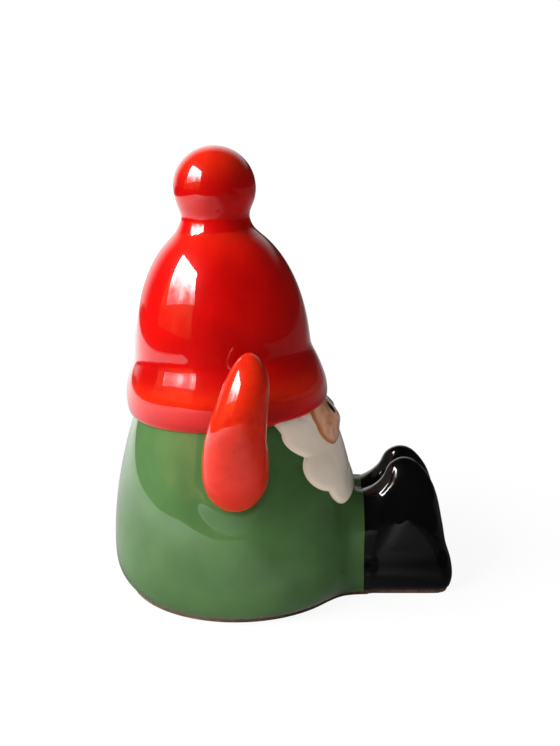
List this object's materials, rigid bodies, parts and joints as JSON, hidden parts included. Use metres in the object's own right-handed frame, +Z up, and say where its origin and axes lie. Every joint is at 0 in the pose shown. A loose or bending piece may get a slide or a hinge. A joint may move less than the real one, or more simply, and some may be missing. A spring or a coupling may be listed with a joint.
{
  "type": "seated gnome figurine",
  "caption": "Seated gnome figurine in glazed ceramic, with a pompom hat over the eyes, raised arms, a scalloped beard and toes-up boots.",
  "frame": {"origin": "on the table under the middle of the figure's box, about 10 mm in front of the tunic's axis", "axes": "+Z up; the gnome faces -Y; its right arm is at -X"},
  "size_m": [0.0662, 0.0738, 0.0946],
  "materials": {
    "red_glaze": "high-gloss red glaze on fired clay, thinner and darker at edges",
    "green_glaze": "high-gloss green glaze on fired clay",
    "black_glaze": "high-gloss black glaze",
    "cream_glaze": "glossy warm white glaze",
    "skin_glaze": "glossy skin-brown glaze with a darker brown outline",
    "bare_clay": "unglazed brown fired clay, matte and slightly gritty"
  },
  "bodies": {
    "root": {"tunic_shell": "green_glaze", "base_slab": "bare_clay", "hat_crown": "red_glaze", "hat_brim": "red_glaze", "pompom": "red_glaze", "arm_right": "red_glaze", "arm_left": "red_glaze", "boot_right": "black_glaze", "boot_left": "black_glaze", "beard": "cream_glaze", "face": "skin_glaze", "nose": "skin_glaze", "eye_right": "black_glaze", "eye_left": "black_glaze"}
  },
  "joints": []
}
